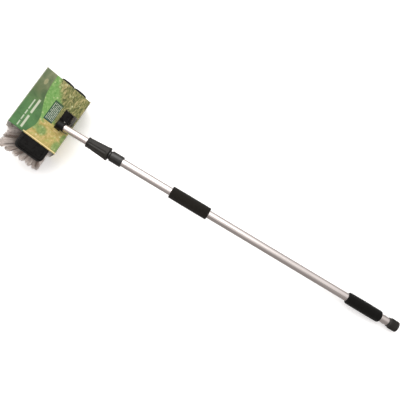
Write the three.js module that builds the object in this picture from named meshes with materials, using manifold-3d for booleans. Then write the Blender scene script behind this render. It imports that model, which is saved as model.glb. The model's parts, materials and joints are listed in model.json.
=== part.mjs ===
// A telescopic wash brush in its printed card sleeve: a twist-lock pole of two round tubes with
// foam grips and a hose coupling at its butt, and a flared, water-fed brush head at its tip.
//
// Millimetres, +Z up. The brush lies at rest: on the lower fold of its sleeve and on the rim of
// its hose nut. +X runs along the pole from head to butt. The origin is the centre of the
// bounding box's base.

import * as THREE from 'three';
import { mergeVertices } from 'three/addons/utils/BufferGeometryUtils.js';
import Module from 'manifold-3d';

const wasm = await Module();
wasm.setup();

// ---------------------------------------------------------------- driving dimensions

// Stations along the pole are measured from the mouth of the head's socket, towards the butt.
const OUTER_TUBE = { radius: 12.5, wall: 1.2, start: 172, end: 1149.2 };
const INNER_TUBE = { radius: 11, wall: 1, start: -19, end: 1062 };
const GRIP_MIDDLE = { radius: 19.7, start: 379, end: 511.5, edge: 1.6 };
const GRIP_END = { radius: 18.9, start: 1004.4, end: 1122, edge: 6.5 };

const NUT = { start: 82.5, end: 157.7, frontRadius: 16.1, rearRadius: 21.6, ribs: 12, ribDepth: 1.2 };
const FERRULE = { neckStart: 128, bodyStart: 166.5, end: 205, radius: 16.85, neckRadius: 14.4 };
const COLLET = { start: 99, end: 127.6, radius: 13.2, slit: 2 };
const LOCK_SEAL = { start: 91, end: 98.4, radius: 14 };

const BUSH = { spigot: 18, length: 20, grooveAt: 8, grooveWidth: 2.2, grooveDepth: 1.5, bore: 7.5 };

const HOSE_NUT = { start: 1156, end: 1181, radius: 16.9, ribs: 24, ribDepth: 0.7, threadRadius: 13.4 };
const ADAPTOR = { insertStart: 1122.5, flangeRadius: 14.6, neckRadius: 9, lipRadius: 12.4, bore: 6.5 };
const WASHER = { start: 1166, end: 1169, radius: 12.6, bore: 7 };
const PIN = { station: 1136, radius: 1.6, depth: 3.4, headRadius: 2.6 };

const SOCKET = { angle: THREE.MathUtils.degToRad(30), reach: 44, length: 24, radius: 14, waterBore: 3.5 };
const FLANGE = { centre: 4, width: 50, length: 48, corner: 6, thickness: 3, screwX: 19, screwY: 18 };
const PILLAR = { x: 22, z: 5.5, width: 12.5, length: 13.6, height: 13 };
const TUBE_SCREW = { setback: 9, shankRadius: 1.2, holeRadius: 1.4 };
const INLET = { x: 21, radius: 4, gasketRadius: 6.6, gasketDepth: 1.3 };
const HEAD = { width: 96, length: 254, corner: 15 };
const BUMPER = { thickness: 2.2, top: -6, bottom: -20.8 };
const BUFFER = { width: 46, length: 20, corner: 9, reach: 3.5 };
const COVER = { depth: 15, wall: 6, roof: 6.2, edge: 2.4 };
const BASE = { top: -16.8, bottom: -25, edge: 3 };
const SCREW = { pilotRadius: 1.5, clearanceRadius: 1.8, headRadius: 3.6, bossRadius: 4.4 };
const BRISTLES = { rows: 6, tipLevel: -80, footSpan: 82, footLength: 234, tipLength: 292 };
const TIP_SPAN = { poleSide: 68, farSide: -81 };

const SLEEVE = { board: 0.8, top: 1.3, bottom: -84, start: -81, end: 123, corner: 4 };
const SLEEVE_TOP = { poleSide: 65, farSide: -103 };
const SLEEVE_BOTTOM = { poleSide: 79, farSide: -86 };
const SLEEVE_HOLE = { poleSide: 60, farSide: 15.2, start: -8, end: 54 };

const RUN_GAP = 0.1;
const SEAT_GAP = 0.3;
const THREAD_PITCH = 4;
const GRIP_LIP = 0.6;
const ROUND = 36;

// ---------------------------------------------------------------- materials

function material(color, roughness, metalness) {
  return new THREE.MeshStandardMaterial({ color, roughness, metalness });
}

const aluminium = material(0xd9d4d2, 0.28, 0.9);
const lockPlastic = material(0x2a2826, 0.5, 0);
const ferrulePlastic = material(0x1d1c1b, 0.25, 0);
const couplingPlastic = material(0x33352f, 0.5, 0);
const blockPlastic = material(0x151312, 0.35, 0);
const gripFoam = material(0x201e1c, 0.95, 0);
const sealRubber = material(0x111111, 0.8, 0);
const innerPlastic = material(0xe6e3da, 0.5, 0);
const screwSteel = material(0xa8a8a8, 0.35, 0.9);
const bristleFibre = material(0xa99a94, 0.7, 0);
const printedCard = material(0x4c7a34, 0.45, 0);

// ---------------------------------------------------------------- solids

function solidOf(geometry) {
  const bare = geometry.clone();
  bare.deleteAttribute('normal');
  bare.deleteAttribute('uv');
  const merged = mergeVertices(bare);
  const vertProperties = new Float32Array(merged.attributes.position.array);
  const triVerts = new Uint32Array(merged.index.array);
  return new wasm.Manifold(new wasm.Mesh({ numProp: 3, vertProperties, triVerts }));
}

function geometryOf(solid) {
  const mesh = solid.getMesh();
  const geometry = new THREE.BufferGeometry();
  geometry.setAttribute('position', new THREE.BufferAttribute(mesh.vertProperties, 3));
  geometry.setIndex(new THREE.BufferAttribute(mesh.triVerts, 1));
  geometry.computeVertexNormals();
  return geometry;
}

function cut(geometry, ...tools) {
  return geometryOf(tools.reduce((solid, tool) => solid.subtract(solidOf(tool)), solidOf(geometry)));
}

function join(geometry, ...others) {
  return geometryOf(others.reduce((solid, other) => solid.add(solidOf(other)), solidOf(geometry)));
}

// A solid turned about the X axis, from its outline as [station, radius] pairs.
function turned(outline, segments = ROUND) {
  const points = outline.map(([station, radius]) => new THREE.Vector2(radius, station));
  const geometry = new THREE.LatheGeometry(points, segments);
  geometry.rotateZ(-Math.PI / 2);
  return geometry;
}

// A turned ring whose outline closes on itself.
function ring(outline, segments = ROUND) {
  return turned([...outline, outline[0]], segments);
}

function tube(start, end, outerRadius, innerRadius, segments = ROUND) {
  const outline = [[start, innerRadius], [start, outerRadius], [end, outerRadius], [end, innerRadius]];
  return ring(outline, segments);
}

function rod(start, end, radius, segments = ROUND) {
  return turned([[start, 0], [start, radius], [end, radius], [end, 0]], segments);
}

// Raises every second stretch of a turned surface into a rib, where it is wider than `above`.
function ribbed(geometry, count, depth, above) {
  const position = geometry.attributes.position;
  for (let i = 0; i < position.count; i += 1) {
    const y = position.getY(i);
    const z = position.getZ(i);
    const radius = Math.hypot(y, z);
    if (radius > above) {
      const wave = Math.cos(count * Math.atan2(z, y));
      const scale = 1 + (depth / 2) * (THREE.MathUtils.clamp(1.6 * wave, -1, 1) - 1) / radius;
      position.setY(i, y * scale);
      position.setZ(i, z * scale);
    }
  }
  return geometry;
}

function roundedRectangle(width, length, corner) {
  const w = width / 2 - corner;
  const l = length / 2 - corner;
  const shape = new THREE.Shape();
  shape.absarc(w, l, corner, 0, Math.PI / 2);
  shape.absarc(-w, l, corner, Math.PI / 2, Math.PI);
  shape.absarc(-w, -l, corner, Math.PI, 1.5 * Math.PI);
  shape.absarc(w, -l, corner, 1.5 * Math.PI, 2 * Math.PI);
  shape.closePath();
  return shape;
}

function circle(x, y, radius) {
  return new THREE.Path().absarc(x, y, radius, 0, 2 * Math.PI, true);
}

// A flat slab of a plan shape, between two heights.
function slab(shape, low, high, curveSegments = 6) {
  const settings = { depth: high - low, bevelEnabled: false, curveSegments };
  const geometry = new THREE.ExtrudeGeometry(shape, settings);
  geometry.translate(0, 0, low);
  return geometry;
}

// An upright rod in a plan at (x, y), between two heights.
function post(x, y, low, high, radius, segments = 12) {
  const geometry = new THREE.CylinderGeometry(radius, radius, high - low, segments);
  geometry.rotateX(Math.PI / 2);
  geometry.translate(x, y, (low + high) / 2);
  return geometry;
}

function part(name, geometry, finish) {
  const mesh = new THREE.Mesh(geometry, finish);
  mesh.name = name;
  return mesh;
}

// ---------------------------------------------------------------- pole

function poleTube({ radius, wall, start, end }) {
  return tube(start, end, radius, radius - wall);
}

// A foam sleeve whose rounded ends reach `edge` along the pole and stop a lip above the bore.
function foamGrip({ radius, start, end, edge }) {
  const bore = OUTER_TUBE.radius + SEAT_GAP;
  const drop = Math.min(edge, radius - bore - GRIP_LIP);
  const steps = 3;
  const outline = [[start, bore]];
  for (let i = 0; i <= steps; i += 1) {
    const angle = (i / steps) * Math.PI / 2;
    outline.push([start + edge * (1 - Math.sin(angle)), radius - drop * (1 - Math.cos(angle))]);
  }
  outline.splice(1, steps + 1, ...outline.slice(1).reverse());
  const rear = outline.slice(1).reverse().map(([station, r]) => [start + end - station, r]);
  return ring([...outline, ...rear, [end, bore]], 32);
}

// The clamp's fixed half: a sleeve on the outer tube with a threaded neck inside the nut.
function ferrule() {
  const { neckStart, bodyStart, end, radius, neckRadius } = FERRULE;
  const bore = INNER_TUBE.radius + SEAT_GAP;
  const tubeBore = OUTER_TUBE.radius + RUN_GAP;
  const outline = [[neckStart, bore + 2.2], [neckStart, neckRadius - 1]];
  for (let crest = neckStart + 2; crest + THREAD_PITCH < bodyStart - 2; crest += THREAD_PITCH) {
    outline.push([crest, neckRadius], [crest + THREAD_PITCH / 2, neckRadius - 0.9]);
  }
  outline.push([bodyStart - 3, neckRadius - 0.9], [bodyStart - 1.5, radius - 2.4], [bodyStart, radius]);
  outline.push([end - 0.8, radius], [end, radius - 0.8]);
  outline.push([end, tubeBore], [OUTER_TUBE.start - SEAT_GAP, tubeBore]);
  outline.push([OUTER_TUBE.start - SEAT_GAP, bore], [neckStart + 3, bore]);
  return ring(outline);
}

// The conical nut that squeezes the collet, fluted along its length.
function lockNut() {
  const { start, end, frontRadius, rearRadius, ribs, ribDepth } = NUT;
  const bore = INNER_TUBE.radius + 0.4;
  const chamber = LOCK_SEAL.radius + SEAT_GAP;
  const thread = FERRULE.neckRadius + 0.35;
  const outline = [[start, bore], [start, frontRadius - 1.5], [start + 1.5, frontRadius]];
  outline.push([end - 1.2, rearRadius], [end, rearRadius - 1]);
  outline.push([end, thread], [FERRULE.neckStart - 8, thread], [FERRULE.neckStart - 9, chamber]);
  outline.push([LOCK_SEAL.start - SEAT_GAP, chamber], [LOCK_SEAL.start - SEAT_GAP, bore]);
  return ribbed(ring(outline, 6 * ribs), ribs, ribDepth, frontRadius - 1.2);
}

// The split wedge ring that grips the inner tube.
function collet() {
  const { start, end, radius, slit } = COLLET;
  const bore = INNER_TUBE.radius + RUN_GAP;
  const outline = [[start, bore], [start, radius - 1], [start + 3, radius]];
  outline.push([end - 3, radius], [end - 0.3, bore + 1], [end, bore]);
  const gap = new THREE.BoxGeometry(end - start + 2, slit, 2 * radius);
  gap.translate((start + end) / 2, 0, -radius);
  return cut(ring(outline), gap);
}

function lockSeal() {
  const { start, end, radius } = LOCK_SEAL;
  const bore = INNER_TUBE.radius + RUN_GAP;
  const outline = [[start, bore], [start, radius - 0.6], [start + 1, radius]];
  outline.push([end - 1, radius], [end, radius - 1], [end, bore]);
  return ring(outline);
}

// The plug in the inner tube's tail that keeps it centred in the outer tube.
function guideBush() {
  const end = INNER_TUBE.end;
  const land = OUTER_TUBE.radius - OUTER_TUBE.wall - 0.15;
  const spigotRadius = INNER_TUBE.radius - INNER_TUBE.wall - RUN_GAP;
  const groove = end + BUSH.grooveAt;
  const outline = [[end - BUSH.spigot, BUSH.bore], [end - BUSH.spigot, spigotRadius]];
  outline.push([end + SEAT_GAP, spigotRadius], [end + SEAT_GAP, land]);
  outline.push([groove, land], [groove, land - BUSH.grooveDepth]);
  outline.push([groove + BUSH.grooveWidth, land - BUSH.grooveDepth], [groove + BUSH.grooveWidth, land]);
  outline.push([end + BUSH.length, land], [end + BUSH.length, BUSH.bore]);
  return ring(outline);
}

// A rubber ring of round section about the X axis.
function sealRing(station, middleRadius, sectionRadius) {
  const outline = [];
  for (let i = 0; i < 8; i += 1) {
    const angle = (i + 0.5) * Math.PI / 4;
    outline.push([station - sectionRadius * Math.cos(angle), middleRadius + sectionRadius * Math.sin(angle)]);
  }
  return ring(outline, 24);
}

function guideSeal() {
  const section = 0.72;
  const middle = OUTER_TUBE.radius - OUTER_TUBE.wall - 0.15 - section;
  return sealRing(INNER_TUBE.end + BUSH.grooveAt + BUSH.grooveWidth / 2, middle, section);
}

// ---------------------------------------------------------------- hose coupling

// The insert that closes the butt of the outer tube and carries the swivelling nut.
function hoseAdaptor() {
  const { insertStart, flangeRadius, neckRadius, lipRadius, bore } = ADAPTOR;
  const insertRadius = OUTER_TUBE.radius - OUTER_TUBE.wall - RUN_GAP;
  const flangeStart = OUTER_TUBE.end + SEAT_GAP;
  const flangeEnd = HOSE_NUT.start - SEAT_GAP;
  const outline = [[insertStart, bore], [insertStart, insertRadius], [flangeStart, insertRadius]];
  outline.push([flangeStart, flangeRadius], [flangeEnd, flangeRadius], [flangeEnd, neckRadius]);
  outline.push([WASHER.start - 3.3, neckRadius], [WASHER.start - 3.3, lipRadius]);
  outline.push([WASHER.start - SEAT_GAP, lipRadius], [WASHER.start - SEAT_GAP, bore]);
  return cut(ring(outline), ...[1, -1].map((side) => pinTool(side)));
}

// One of the two rivets' holes through the tube and the adaptor, on the +Y or the -Y side.
function pinTool(side, radius = PIN.radius + RUN_GAP) {
  const tool = new THREE.CylinderGeometry(radius, radius, 10, 16);
  tool.translate(PIN.station, side * (OUTER_TUBE.radius + 1), 0);
  return tool;
}

function adaptorPin(side) {
  const top = OUTER_TUBE.radius + 0.7;
  const points = [[0, -PIN.depth], [PIN.radius, -PIN.depth], [PIN.radius, 0.05]];
  points.push([PIN.headRadius, 0.05], [PIN.headRadius - 0.4, 0.7], [0, 1]);
  const geometry = new THREE.LatheGeometry(points.map(([r, y]) => new THREE.Vector2(r, y)), 16);
  geometry.translate(0, top - 0.55, 0);
  if (side < 0) geometry.rotateZ(Math.PI);
  geometry.translate(PIN.station, 0, 0);
  return geometry;
}

function hoseNut() {
  const { start, end, radius, ribs, ribDepth, threadRadius } = HOSE_NUT;
  const neckBore = ADAPTOR.neckRadius + 0.25;
  const outline = [[start, neckBore], [start, radius - 1.6], [start + 1.2, radius], [end - 1.6, radius]];
  outline.push([end, radius - 1.2], [end, threadRadius + 0.6], [end - 0.8, threadRadius]);
  outline.push([start + 6.4, threadRadius], [start + 6.4, neckBore]);
  return ribbed(ring(outline, 4 * ribs), ribs, ribDepth, radius - 1.3);
}

// ---------------------------------------------------------------- brush head
// The head's own frame: the top of the block is the plane z = 0, +X points to the pole side and
// the bristles hang towards -Z. The socket's axis meets the middle of the block's top.

function socketFrame(geometry) {
  geometry.rotateY(-SOCKET.angle);
  return geometry;
}

const SCREW_PLACES = [[1, 1], [1, -1], [-1, 1], [-1, -1]].map(
  ([x, y]) => [FLANGE.centre + x * FLANGE.screwX, y * FLANGE.screwY]
);
const COVER_SCREW_PLACES = [-96, 0, 96].flatMap((y) => [[-33, y], [33, y]]);
const JET_PLACES = [-105, -75, -45, -15, 15, 45, 75, 105].map((y) => [0, y]);

function flangePlan(margin) {
  const { width, length, corner } = FLANGE;
  return roundedRectangle(width + 2 * margin, length + 2 * margin, corner + margin);
}

// The socket: a flange let into the block's top, a narrow pillar and the inclined barrel.
function headSocket() {
  const { reach, length, radius, waterBore } = SOCKET;
  const flange = slab(flangePlan(0), -FLANGE.thickness, 0);
  flange.translate(FLANGE.centre, 0, 0);
  const pillar = new THREE.BoxGeometry(PILLAR.width, PILLAR.length, PILLAR.height);
  pillar.translate(PILLAR.x, 0, PILLAR.z);
  const back = reach - length;
  const outline = [[back, 0], [back, radius - 1.6], [back + 1.6, radius]];
  outline.push([reach - 0.8, radius], [reach, radius - 0.8], [reach, 0]);
  const bore = rod(reach + INNER_TUBE.start - SEAT_GAP, reach + 5, INNER_TUBE.radius + RUN_GAP);
  const drain = post(INLET.x, 0, -FLANGE.thickness - 1, 14, waterBore);
  const screwHoles = SCREW_PLACES.map(([x, y]) => post(x, y, -10, 5, 1.7));
  const sinks = SCREW_PLACES.map(([x, y]) => screwSink(x, y, RUN_GAP));
  const body = join(flange, pillar, socketFrame(turned(outline)));
  return cut(body, socketFrame(bore), drain, ...screwHoles, ...sinks, tubeScrewHole());
}

function tubeScrewHole() {
  const { holeRadius, setback } = TUBE_SCREW;
  const tool = new THREE.CylinderGeometry(holeRadius, holeRadius, 10, 12);
  tool.translate(SOCKET.reach - setback, SOCKET.radius, 0);
  return socketFrame(tool);
}

// The screw through the barrel's wall into the inner tube.
function tubeScrew() {
  const inside = INNER_TUBE.radius - 3;
  const seat = SOCKET.radius + 0.05;
  const { shankRadius, setback } = TUBE_SCREW;
  const outline = [[0, inside], [shankRadius, inside], [shankRadius, seat]];
  outline.push([3, seat], [2.6, seat + 1.4], [0, seat + 2]);
  const geometry = new THREE.LatheGeometry(outline.map(([r, y]) => new THREE.Vector2(r, y)), 12);
  geometry.translate(SOCKET.reach - setback, 0, 0);
  return socketFrame(geometry);
}

// The cone that a countersunk screw head fills, its flat side up at z = 0.
function screwSink(x, y, margin) {
  const depth = 2 + margin;
  const wide = SCREW.headRadius + margin;
  const narrow = SCREW.pilotRadius + margin;
  const geometry = new THREE.CylinderGeometry(wide, narrow, depth, 12);
  geometry.rotateX(Math.PI / 2);
  geometry.translate(x, y, margin - depth / 2);
  return geometry;
}

function socketScrew([x, y]) {
  const outline = [[0, -12.5], [1.3, -12], [1.3, -1.9], [2.9, -0.25], [0, -0.25]];
  const geometry = new THREE.LatheGeometry(outline.map(([r, z]) => new THREE.Vector2(r, z)), 12);
  geometry.rotateX(Math.PI / 2);
  geometry.translate(x, y, 0);
  return geometry;
}

function socketGasket() {
  const { x, radius, gasketRadius, gasketDepth } = INLET;
  const shape = circleShape(x, 0, gasketRadius);
  shape.holes.push(circle(x, 0, radius));
  return slab(shape, -FLANGE.thickness - gasketDepth, -FLANGE.thickness - SEAT_GAP, 16);
}

function circleShape(x, y, radius) {
  const shape = new THREE.Shape();
  shape.absarc(x, y, radius, 0, 2 * Math.PI);
  return shape;
}

// The block's upper shell, with the water chamber under its roof.
function headCover() {
  const { depth, wall, roof, edge } = COVER;
  const skin = BUMPER.thickness;
  const width = HEAD.width - 2 * skin;
  const length = HEAD.length - 2 * skin;
  const shape = roundedRectangle(width - 2 * edge, length - 2 * edge, HEAD.corner - skin - edge);
  const settings = { depth: depth - edge - 0.4, bevelThickness: edge, bevelSize: edge, bevelSegments: 3 };
  const block = new THREE.ExtrudeGeometry(shape, { ...settings, curveSegments: 6 });
  block.translate(0, 0, -depth + 0.4);
  const skirt = slab(roundedRectangle(width, length, HEAD.corner - skin), -depth - edge - 1, -depth);
  const chamber = roundedRectangle(width - 2 * wall, length - 2 * wall, HEAD.corner - skin - wall + 1);
  const islands = [...COVER_SCREW_PLACES, ...SCREW_PLACES];
  islands.forEach(([x, y]) => chamber.holes.push(circle(x, y, SCREW.bossRadius)));
  const hollow = slab(chamber, -depth - 5, -roof - FLANGE.thickness);
  const recess = slab(flangePlan(SEAT_GAP), -FLANGE.thickness - SEAT_GAP, 5);
  recess.translate(FLANGE.centre, 0, 0);
  const seatRadius = INLET.gasketRadius + SEAT_GAP;
  const seatDepth = FLANGE.thickness + INLET.gasketDepth + SEAT_GAP;
  const gasketSeat = post(INLET.x, 0, -seatDepth, 0, seatRadius, 16);
  const inlet = post(INLET.x, 0, -depth, 0, INLET.radius, 16);
  const pilots = COVER_SCREW_PLACES.map(([x, y]) => post(x, y, -depth - 5, -8, SCREW.pilotRadius));
  const socketPilots = SCREW_PLACES.map(([x, y]) => post(x, y, -13, 5, SCREW.pilotRadius));
  return cut(block, skirt, hollow, recess, gasketSeat, inlet, ...pilots, ...socketPilots);
}

// The head's plan, drawn `inset` inside it.
function headPlan(inset, corner = HEAD.corner - inset) {
  return roundedRectangle(HEAD.width - 2 * inset, HEAD.length - 2 * inset, corner);
}

function headGasket() {
  const outer = headPlan(BUMPER.thickness + 0.5);
  const inset = COVER.wall + BUMPER.thickness;
  outer.holes.push(headPlan(inset, HEAD.corner - inset + 1));
  return slab(outer, BASE.top + SEAT_GAP, -COVER.depth - SEAT_GAP, 4);
}

// The tuft plate that closes the block, drilled for the water jets and the screws.
function headBase() {
  const { top, bottom, edge } = BASE;
  const shape = headPlan(BUMPER.thickness + edge);
  JET_PLACES.forEach(([x, y]) => shape.holes.push(circle(x, y, 1.6 + edge)));
  const bevel = { bevelThickness: edge, bevelSize: edge, bevelSegments: 2 };
  const settings = { depth: top - bottom - 2 * edge, ...bevel, curveSegments: 4 };
  const plain = new THREE.ExtrudeGeometry(shape, settings);
  plain.translate(0, 0, bottom + edge);
  const holes = COVER_SCREW_PLACES.map(([x, y]) => post(x, y, bottom - 2, top + 2, SCREW.clearanceRadius));
  const sinks = COVER_SCREW_PLACES.map(([x, y]) => post(x, y, bottom - 2, bottom + 3, SCREW.headRadius));
  return cut(plain, ...holes, ...sinks);
}

function coverScrew([x, y]) {
  const head = BASE.bottom + 2.8;
  const outline = [[0, -3], [3.1, -2.6], [3.1, 0], [1.3, 0], [1.3, 12], [0, 13]];
  const geometry = new THREE.LatheGeometry(outline.map(([r, z]) => new THREE.Vector2(r, z)), 12);
  geometry.rotateX(Math.PI / 2);
  geometry.translate(x, y, head);
  return geometry;
}

// The soft rail around the block's flanks, with two rounded buffers on its +Y end.
function headBumper() {
  const { thickness, bottom, top } = BUMPER;
  const { width, length, corner, reach } = BUFFER;
  const buffers = [-1, 1].map((side) => {
    const buffer = slab(roundedRectangle(width, length, corner), bottom, top);
    return buffer.translate(side * width / 2, HEAD.length / 2 + reach - length / 2, 0);
  });
  const inside = slab(headPlan(thickness - SEAT_GAP), bottom - 1, top + 1);
  return cut(join(slab(headPlan(0), bottom, top), ...buffers), inside);
}

// One row of tufts across the head's width, fanned out from its foot to its tips.
function bristleRow(index) {
  const { rows, tipLevel, footSpan, footLength, tipLength } = BRISTLES;
  const footLevel = BASE.bottom - SEAT_GAP;
  const gap = 0.5;
  const footStep = footSpan / rows;
  const tipStep = (TIP_SPAN.poleSide - TIP_SPAN.farSide) / rows;
  const geometry = new THREE.BoxGeometry(1, 1, 1);
  const position = geometry.attributes.position;
  for (let i = 0; i < position.count; i += 1) {
    const side = position.getX(i) > 0 ? 1 : 0;
    const end = position.getY(i) * 2;
    const isTip = position.getZ(i) < 0;
    const inset = side ? -gap : gap;
    const footX = -footSpan / 2 + footStep * (index + side) + inset;
    const tipX = TIP_SPAN.farSide + tipStep * (index + side) + inset;
    const x = isTip ? tipX : footX;
    const y = end * (isTip ? tipLength : footLength) / 2;
    position.setXYZ(i, x, y, isTip ? tipLevel : footLevel);
  }
  return geometry;
}

// ---------------------------------------------------------------- card sleeve

// The sleeve's section seen along Y, as a path with rounded folds, drawn `inset` inside it.
function sleeveSection(inset, target) {
  const corners = [
    new THREE.Vector2(SLEEVE_TOP.poleSide - inset, SLEEVE.top - inset),
    new THREE.Vector2(SLEEVE_TOP.farSide + inset, SLEEVE.top - inset),
    new THREE.Vector2(SLEEVE_BOTTOM.farSide + inset, SLEEVE.bottom + inset),
    new THREE.Vector2(SLEEVE_BOTTOM.poleSide - inset, SLEEVE.bottom + inset),
  ];
  const fold = SLEEVE.corner - inset;
  corners.forEach((corner, i) => {
    const before = corners[(i + 3) % 4].clone().sub(corner).setLength(fold).add(corner);
    const after = corners[(i + 1) % 4].clone().sub(corner).setLength(fold).add(corner);
    if (i === 0) target.moveTo(before.x, before.y);
    else target.lineTo(before.x, before.y);
    target.quadraticCurveTo(corner.x, corner.y, after.x, after.y);
  });
  target.closePath();
  return target;
}

// A band of card around the head, open at both ends, with a window for the socket.
function cardSleeve() {
  const shape = sleeveSection(0, new THREE.Shape());
  shape.holes.push(sleeveSection(SLEEVE.board, new THREE.Path()));
  const length = SLEEVE.end - SLEEVE.start;
  const band = new THREE.ExtrudeGeometry(shape, { depth: length, bevelEnabled: false, curveSegments: 5 });
  band.rotateX(Math.PI / 2);
  band.translate(0, SLEEVE.end, 0);
  const { poleSide, farSide, start, end } = SLEEVE_HOLE;
  const window = new THREE.BoxGeometry(poleSide - farSide, end - start, 10);
  window.translate((poleSide + farSide) / 2, (start + end) / 2, 0);
  const barrelNotch = new THREE.BoxGeometry(20, 2 * (SOCKET.radius + SEAT_GAP), 10);
  barrelNotch.translate(farSide + 10, 0, 0);
  return cut(band, window, barrelNotch);
}

// ---------------------------------------------------------------- assembly

function buildHead() {
  const head = new THREE.Group();
  head.add(part('head_socket', headSocket(), blockPlastic));
  head.add(part('socket_gasket', socketGasket(), sealRubber));
  head.add(part('tube_screw', tubeScrew(), screwSteel));
  SCREW_PLACES.forEach((place, i) => {
    head.add(part(`socket_screw_${i + 1}`, socketScrew(place), screwSteel));
  });
  head.add(part('head_cover', headCover(), blockPlastic));
  head.add(part('head_gasket', headGasket(), sealRubber));
  head.add(part('head_base', headBase(), blockPlastic));
  head.add(part('head_bumper', headBumper(), sealRubber));
  COVER_SCREW_PLACES.forEach((place, i) => {
    head.add(part(`cover_screw_${i + 1}`, coverScrew(place), screwSteel));
  });
  for (let i = 0; i < BRISTLES.rows; i += 1) {
    head.add(part(`bristle_row_${i + 1}`, bristleRow(i), bristleFibre));
  }
  head.add(part('card_sleeve', cardSleeve(), printedCard));
  head.rotation.y = SOCKET.angle;
  head.position.x = -SOCKET.reach;
  return head;
}

function innerTube() {
  const { holeRadius, setback } = TUBE_SCREW;
  const screwHole = new THREE.CylinderGeometry(holeRadius, holeRadius, 10, 12);
  screwHole.translate(-setback, SOCKET.radius, 0);
  return cut(poleTube(INNER_TUBE), screwHole);
}

function outerTube() {
  return cut(poleTube(OUTER_TUBE), pinTool(1), pinTool(-1));
}

function buildPole() {
  const pole = new THREE.Group();
  pole.add(part('outer_tube', outerTube(), aluminium));
  pole.add(part('inner_tube', innerTube(), aluminium));
  pole.add(part('grip_middle', foamGrip(GRIP_MIDDLE), gripFoam));
  pole.add(part('grip_end', foamGrip(GRIP_END), gripFoam));
  pole.add(part('lock_ferrule', ferrule(), ferrulePlastic));
  pole.add(part('lock_nut', lockNut(), lockPlastic));
  pole.add(part('lock_collet', collet(), innerPlastic));
  pole.add(part('lock_seal', lockSeal(), sealRubber));
  pole.add(part('guide_bush', guideBush(), innerPlastic));
  pole.add(part('guide_seal', guideSeal(), sealRubber));
  pole.add(part('hose_adaptor', hoseAdaptor(), couplingPlastic));
  pole.add(part('adaptor_pin_1', adaptorPin(1), screwSteel));
  pole.add(part('adaptor_pin_2', adaptorPin(-1), screwSteel));
  pole.add(part('hose_nut', hoseNut(), couplingPlastic));
  pole.add(part('hose_washer', tube(WASHER.start, WASHER.end, WASHER.radius, WASHER.bore), sealRubber));
  pole.add(buildHead());
  return pole;
}

// The height of a mesh's lowest point.
function lowestPoint(mesh) {
  return new THREE.Box3().setFromObject(mesh, true).min.z;
}

// Tips the pole until its head end and its butt touch the ground together.
function levelOnGround(pole) {
  const headFoot = pole.getObjectByName('card_sleeve');
  const buttFoot = pole.getObjectByName('hose_nut');
  let low = 0;
  let high = Math.PI / 12;
  for (let step = 0; step < 40; step += 1) {
    pole.rotation.y = (low + high) / 2;
    pole.updateMatrixWorld(true);
    if (lowestPoint(headFoot) < lowestPoint(buttFoot)) low = pole.rotation.y;
    else high = pole.rotation.y;
  }
}

const pole = buildPole();
levelOnGround(pole);

// The brush is set down on z = 0 with its bounding box centred on the origin.
const box = new THREE.Box3().setFromObject(pole, true);
const centre = box.getCenter(new THREE.Vector3());
pole.position.set(-centre.x, -centre.y, -box.min.z);

const brush = new THREE.Group();
brush.add(pole);

export default brush;
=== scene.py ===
"""A telescopic wash brush with its printed card sleeve, lying at rest on a pale floor.

Lengths are in metres. Two frames of the object's own place everything: POLE starts at the mouth of
the head's socket, with +X running to the butt, and HEAD starts at the middle of the block's top,
with +X towards the pole, +Y along the block and the bristles hanging towards -Z.
"""

import json
import math

import bmesh
import bpy
import numpy as np
from mathutils import Matrix, Vector, noise


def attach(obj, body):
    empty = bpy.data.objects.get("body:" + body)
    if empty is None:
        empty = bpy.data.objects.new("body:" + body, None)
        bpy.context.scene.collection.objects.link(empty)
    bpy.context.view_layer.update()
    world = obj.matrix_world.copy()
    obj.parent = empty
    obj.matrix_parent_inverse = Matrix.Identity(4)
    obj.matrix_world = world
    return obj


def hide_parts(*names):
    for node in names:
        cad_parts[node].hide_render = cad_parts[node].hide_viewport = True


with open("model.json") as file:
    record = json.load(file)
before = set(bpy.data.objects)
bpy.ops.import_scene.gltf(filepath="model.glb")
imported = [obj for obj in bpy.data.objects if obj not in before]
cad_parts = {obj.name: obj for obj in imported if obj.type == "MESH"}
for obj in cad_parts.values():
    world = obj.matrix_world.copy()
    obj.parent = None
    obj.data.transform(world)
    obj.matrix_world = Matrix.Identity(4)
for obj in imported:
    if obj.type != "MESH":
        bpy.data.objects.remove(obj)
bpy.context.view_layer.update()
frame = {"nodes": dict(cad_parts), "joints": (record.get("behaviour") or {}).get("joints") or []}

MM = 0.001

# ------------------------------------------------------------ frames and measures

SOCKET_ANGLE = math.radians(30)
SOCKET_REACH = 44 * MM


def pole_frame():
    """The pole's frame, read from the joint that twists the upper pole in the lower one."""
    twist = next(j for j in frame["joints"] if j["name"] == "head_twist")
    along = -Vector(twist["axis"])
    across = Vector((0, 1, 0))
    matrix = Matrix((along, across, along.cross(across))).transposed().to_4x4()
    matrix.translation = Vector(twist["pos_m"])
    return matrix


POLE = pole_frame()
HEAD = POLE @ Matrix.Translation((-SOCKET_REACH, 0, 0)) @ Matrix.Rotation(SOCKET_ANGLE, 4, "Y")


def extent(node, matrix):
    """A CAD node's lowest and highest corners, measured in another frame."""
    inverse = matrix.inverted()
    points = np.array([inverse @ v.co for v in frame["nodes"][node].data.vertices])
    return Vector(points.min(0)), Vector(points.max(0))


# ------------------------------------------------------------ camera, light and floor

CAMERA = {"place": (0.4675, -0.3951, 1.5677), "lens": 47.7}
CAMERA_RIGHT = Vector((0.8575, 0.4970, 0.1332))
CAMERA_UP = Vector((-0.5145, 0.8283, 0.2219))


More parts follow.
